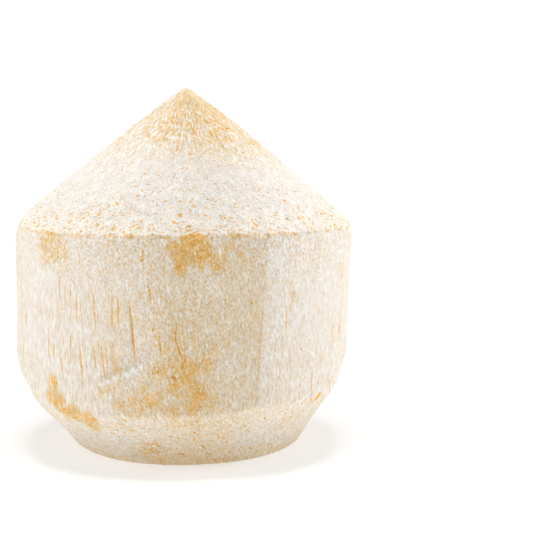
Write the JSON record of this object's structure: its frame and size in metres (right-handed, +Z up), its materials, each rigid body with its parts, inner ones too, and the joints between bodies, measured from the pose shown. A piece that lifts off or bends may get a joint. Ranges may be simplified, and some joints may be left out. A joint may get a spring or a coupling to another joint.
{
  "type": "trimmed young green coconut",
  "caption": "Young green coconut pared to its white husk: upright drum body, pointed conical crown, narrower heel, flat base to stand on.",
  "frame": {"origin": "middle of the plan box at the height of the flat base, so the fruit stands on z = 0", "axes": "+Z up through the pointed crown, -Y towards the side that the picture shows, +X to the right of it"},
  "size_m": [0.1158, 0.1178, 0.1231],
  "materials": {
    "cut_husk": "dry matt cut husk fibre, creamy white with tan and orange stains"
  },
  "bodies": {
    "root": {"pared_husk": "cut_husk"}
  },
  "joints": []
}
